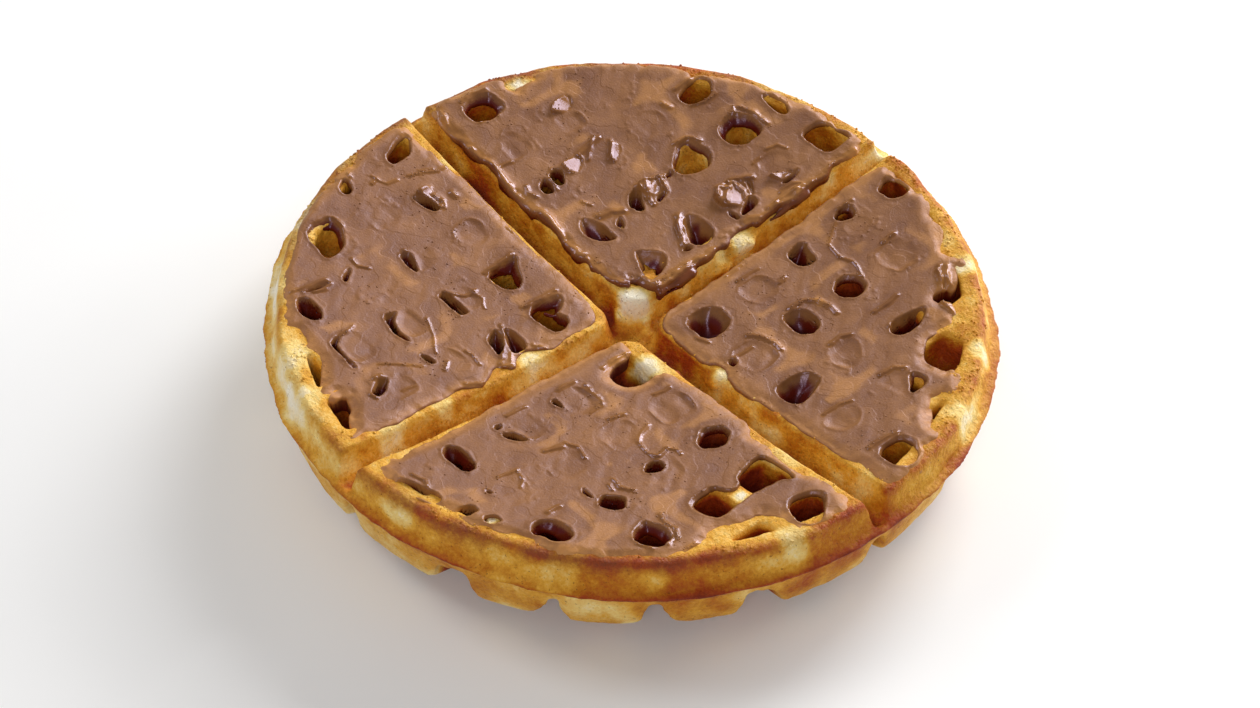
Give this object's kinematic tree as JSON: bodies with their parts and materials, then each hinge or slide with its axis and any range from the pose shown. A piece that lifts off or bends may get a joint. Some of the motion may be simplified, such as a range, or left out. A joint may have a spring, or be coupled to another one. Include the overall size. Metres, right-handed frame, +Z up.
{
  "type": "belgian waffle with chocolate spread",
  "caption": "Round thick waffle in four quarters with deep square pockets on both faces, dished, its top covered with torn chocolate spread.",
  "frame": {"origin": "on the surface that the waffle stands on, under the middle of its cross of grooves", "axes": "+Z up through the waffle's thickness, X and Y along the two grooves of the cross"},
  "size_m": [0.181, 0.1804, 0.0329],
  "materials": {
    "crust": "baked batter, golden brown with darker toasted patches and pale crumb, matt to faintly greasy",
    "spread": "soft hazelnut chocolate spread, milk-chocolate brown, smeared with a knife, satin to glossy"
  },
  "bodies": {
    "root": {"waffle": "crust", "spread_right": "spread", "spread_back": "spread", "spread_left": "spread", "spread_front": "spread"}
  },
  "joints": []
}
